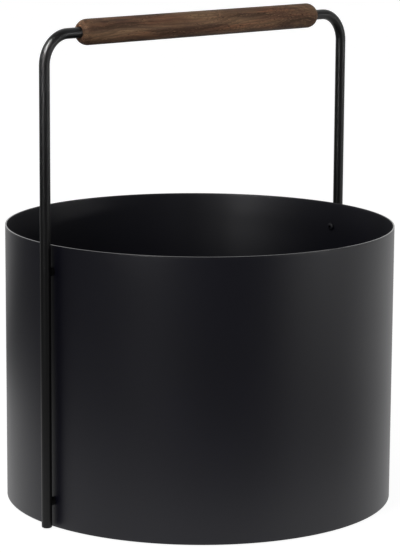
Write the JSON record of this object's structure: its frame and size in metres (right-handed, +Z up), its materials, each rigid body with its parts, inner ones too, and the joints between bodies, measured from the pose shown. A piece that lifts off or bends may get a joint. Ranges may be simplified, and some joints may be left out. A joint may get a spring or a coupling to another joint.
{
  "type": "log holder",
  "caption": "Open round sheet-steel bucket for firewood with a tall fixed bar handle and a round wooden grip.",
  "frame": {"origin": "on the floor, under the centre of the bucket, at the level of the rubber feet's soles", "axes": "+Z up; the handle's bar and its two legs lie in the XZ plane, with the left leg at -X; the front is -Y"},
  "size_m": [0.406, 0.38, 0.4782],
  "materials": {
    "powder_coat": "satin fine-texture powder coat",
    "smoked_oak": "oiled, open grain",
    "blackened_steel": "black oxide",
    "black_rubber": "matte"
  },
  "bodies": {
    "root": {"bucket_wall": "powder_coat", "base_plate": "powder_coat", "handle_rod_left": "powder_coat", "handle_rod_right": "powder_coat", "grip": "smoked_oak", "spacer_left_upper": "powder_coat", "spacer_left_lower": "powder_coat", "spacer_right_upper": "powder_coat", "spacer_right_lower": "powder_coat", "screw_left_upper": "blackened_steel", "screw_left_lower": "blackened_steel", "screw_right_upper": "blackened_steel", "screw_right_lower": "blackened_steel", "foot_front_left": "black_rubber", "foot_front_right": "black_rubber", "foot_back_left": "black_rubber", "foot_back_right": "black_rubber"}
  },
  "joints": []
}
